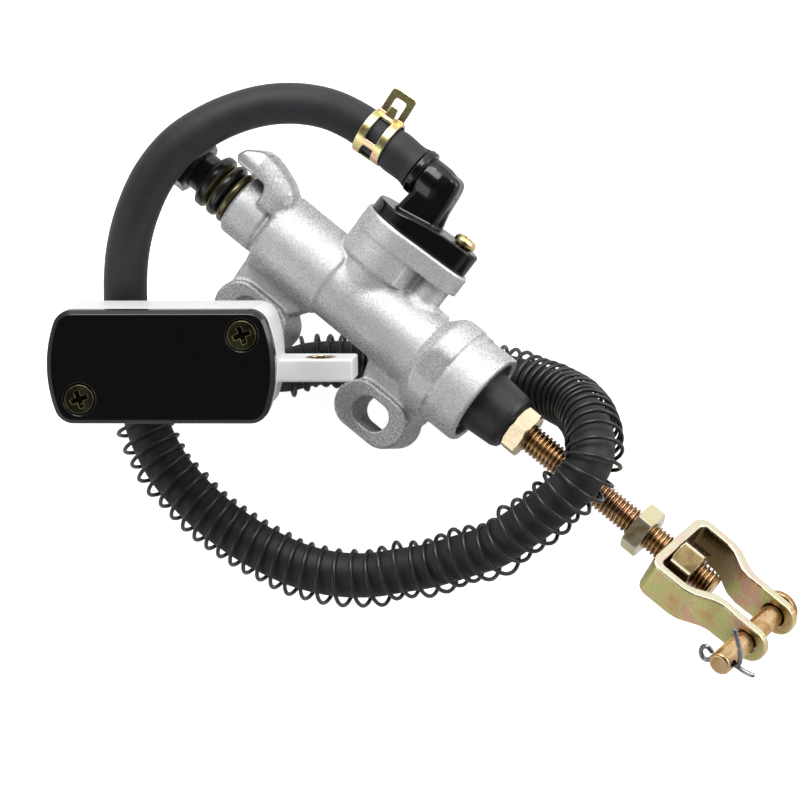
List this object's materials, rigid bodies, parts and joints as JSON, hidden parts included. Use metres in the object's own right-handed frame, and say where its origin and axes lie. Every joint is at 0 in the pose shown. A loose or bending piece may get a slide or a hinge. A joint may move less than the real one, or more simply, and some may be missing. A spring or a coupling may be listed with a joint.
{
  "type": "brake master cylinder",
  "caption": "Rear brake master cylinder: cast barrel with slotted lugs, side inlet elbow, booted push rod with clevis, and a remote reservoir on a coil-guarded hose.",
  "frame": {"origin": "on the back face of the first mounting lug, on the lug's centre line; the bore axis meets the inlet boss axis at (8.8, 17.2, 11.5) mm", "axes": "+X along the bore towards the push rod, +Y along the inlet boss, +Z out of the mounting lugs' front faces"},
  "size_m": [0.1695, 0.1028, 0.0609],
  "materials": {
    "cast_aluminium": "fine blasted casting, matt silver",
    "black_steel": "gloss black plated steel",
    "bronze_steel": "gloss black with a bronze sheen",
    "black_plastic": "glossy moulded black",
    "seal_rubber": "smooth moulded rubber",
    "yellow_zinc": "iridescent yellow zinc plate",
    "gold_zinc": "gold chromate zinc plate",
    "pale_zinc": "bright pale gold zinc plate",
    "olive_zinc": "dark olive zinc plate",
    "hose_rubber": "matt blue-black rubber",
    "black_wire": "semi-gloss black coated wire",
    "milky_plastic": "translucent milky moulding",
    "brass": "turned brass",
    "plain_steel": "bright steel",
    "boot_rubber": "satin black rubber",
    "anodised_aluminium": "satin anodised"
  },
  "bodies": {
    "cylinder": {"cylinder_body": "cast_aluminium", "banjo_bolt": "black_steel", "sealing_washer_1": "bronze_steel", "sealing_washer_2": "bronze_steel", "sealing_washer_3": "bronze_steel", "inlet_elbow": "black_plastic", "inlet_o_ring": "seal_rubber", "elbow_screw": "yellow_zinc", "elbow_hose_clamp": "yellow_zinc", "fluid_hose": "hose_rubber", "hose_guard_coil": "black_wire", "reservoir_hose_clamp": "yellow_zinc", "reservoir_body": "milky_plastic", "mount_bushing": "brass", "stop_washer": "plain_steel", "retaining_ring": "plain_steel", "return_spring": "plain_steel", "dust_boot": "boot_rubber"},
    "piston": {"piston": "anodised_aluminium", "primary_cup": "seal_rubber", "secondary_seal": "seal_rubber"},
    "push_rod": {"push_rod": "gold_zinc"},
    "lock_nut": {"lock_nut": "pale_zinc"},
    "clevis": {"clevis": "yellow_zinc", "clevis_nut": "pale_zinc"},
    "clevis_pin": {"clevis_pin": "gold_zinc", "cotter_pin": "plain_steel"},
    "reservoir_cap": {"reservoir_cap": "black_plastic", "cap_screw_1": "olive_zinc", "cap_screw_2": "olive_zinc", "diaphragm": "seal_rubber"}
  },
  "joints": [
    {"name": "piston_stroke", "type": "slide", "parent": "cylinder", "child": "piston", "axis": [-1, 0, 0], "range_m": [0, 0.01], "deforming": ["return_spring", "dust_boot"]},
    {"name": "push_rod_swing", "type": "hinge", "parent": "piston", "child": "push_rod", "pos_m": [0.0292, 0.0172, 0.0115], "axis": [0, 0.5736, -0.8192], "range_deg": [-1.2, 1.8]},
    {"name": "clevis_turn", "type": "hinge", "parent": "push_rod", "child": "lock_nut", "pos_m": [0.0878, 0.0172, 0.0115], "axis": [1, 0, 0], "range_deg": [-720, 720]},
    {"name": "clevis_advance", "type": "slide", "parent": "lock_nut", "child": "clevis", "axis": [1, 0, 0], "range_m": [-0.00201, 0.00201]},
    {"name": "clevis_pin_spin", "type": "hinge", "parent": "clevis", "child": "clevis_pin", "pos_m": [0.1198, 0.0172, 0.0115], "axis": [0, 0.5736, -0.8192], "continuous": true},
    {"name": "reservoir_cap_lift", "type": "slide", "parent": "cylinder", "child": "reservoir_cap", "axis": [0.1872, -0.0394, 0.9815], "range_m": [0, 0.02]}
  ],
  "couplings": [
    {"joint": "clevis_advance", "follows": "clevis_turn", "m_per_rad": 0.00015915}
  ]
}
